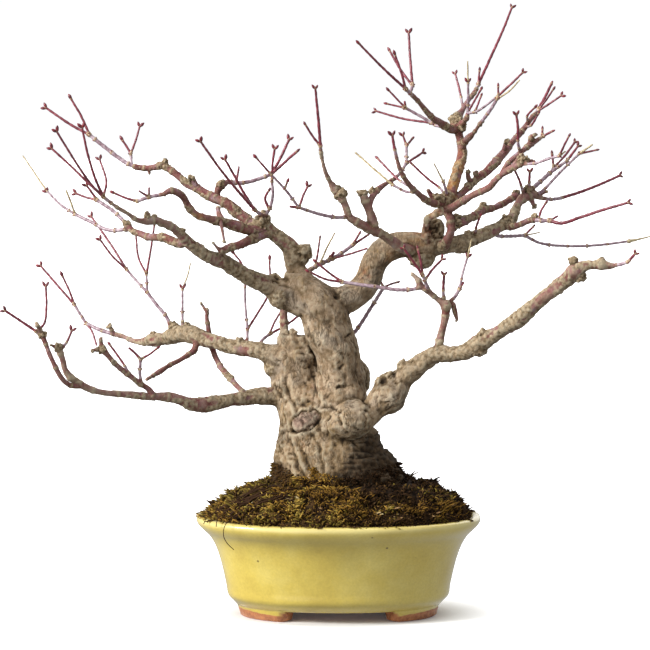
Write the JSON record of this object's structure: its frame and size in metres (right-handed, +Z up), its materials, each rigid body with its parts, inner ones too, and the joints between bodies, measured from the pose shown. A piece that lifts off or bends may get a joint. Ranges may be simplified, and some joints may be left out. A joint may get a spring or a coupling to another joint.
{
  "type": "japanese maple bonsai",
  "caption": "Leafless Japanese maple bonsai with a gnarled double trunk, spreading limbs and thin red twigs, rooted in a moss mound in an oval yellow glazed pot that stands on feet.",
  "frame": {"origin": "centre of the bounding box, on the surface that the pot's feet stand on", "axes": "+X to the viewer's right along the widest spread of the limbs, +Y away from the viewer, +Z up"},
  "size_m": [0.3273, 0.1574, 0.3075],
  "materials": {
    "yellow_glaze": "glossy glaze",
    "soil": "loose grit",
    "moss": "rough mat",
    "bark": "rough bark",
    "twig_bark": "smooth bark",
    "screen_plastic": "matte"
  },
  "bodies": {
    "root": {"pot": "yellow_glaze", "soil": "soil", "moss": "moss", "trunk": "bark", "twigs_left_top": "twig_bark", "twigs_left_inner": "twig_bark", "twigs_left_behind": "twig_bark", "twigs_left_fan": "twig_bark", "twigs_left_middle": "twig_bark", "twigs_left_lower": "twig_bark", "twigs_left_front": "twig_bark", "twigs_left_upright": "twig_bark", "twigs_middle_left_tip": "twig_bark", "twigs_middle_left_long": "twig_bark", "twigs_middle_left_up": "twig_bark", "twigs_middle_left_inner": "twig_bark", "twigs_middle_left_cross": "twig_bark", "twigs_low_left_tip": "twig_bark", "twigs_low_left_bud": "twig_bark", "twigs_low_left_rise": "twig_bark", "twigs_low_left_dark": "twig_bark", "twigs_fork": "twig_bark", "twigs_behind_arm": "twig_bark", "twigs_front_top": "twig_bark", "twigs_front_left": "twig_bark", "twigs_front_right": "twig_bark", "twigs_crown_left_tip": "twig_bark", "twigs_crown_left_dead": "twig_bark", "twigs_crown_left_red": "twig_bark", "twigs_crown_red": "twig_bark", "twigs_crown_dead": "twig_bark", "twigs_apex_left": "twig_bark", "twigs_apex_pale": "twig_bark", "twigs_apex_right": "twig_bark", "twigs_apex_middle": "twig_bark", "twigs_apex_top": "twig_bark", "twigs_apex_thin": "twig_bark", "twigs_first_tip": "twig_bark", "twigs_first_side": "twig_bark", "twigs_first_low": "twig_bark", "twigs_second_red": "twig_bark", "twigs_second_top": "twig_bark", "twigs_second_long": "twig_bark", "twigs_third_violet": "twig_bark", "twigs_third_dark": "twig_bark", "twigs_third_long": "twig_bark", "twigs_third_up": "twig_bark", "twigs_third_red": "twig_bark", "twigs_right_upper": "twig_bark", "twigs_right_lower": "twig_bark", "twigs_right_small": "twig_bark", "twigs_low_right_long": "twig_bark", "twigs_low_right_reds": "twig_bark", "twigs_low_right_up": "twig_bark", "twigs_low_right_side": "twig_bark", "twigs_low_right_tip": "twig_bark", "drain_screen_left": "screen_plastic", "drain_screen_right": "screen_plastic"}
  },
  "joints": []
}
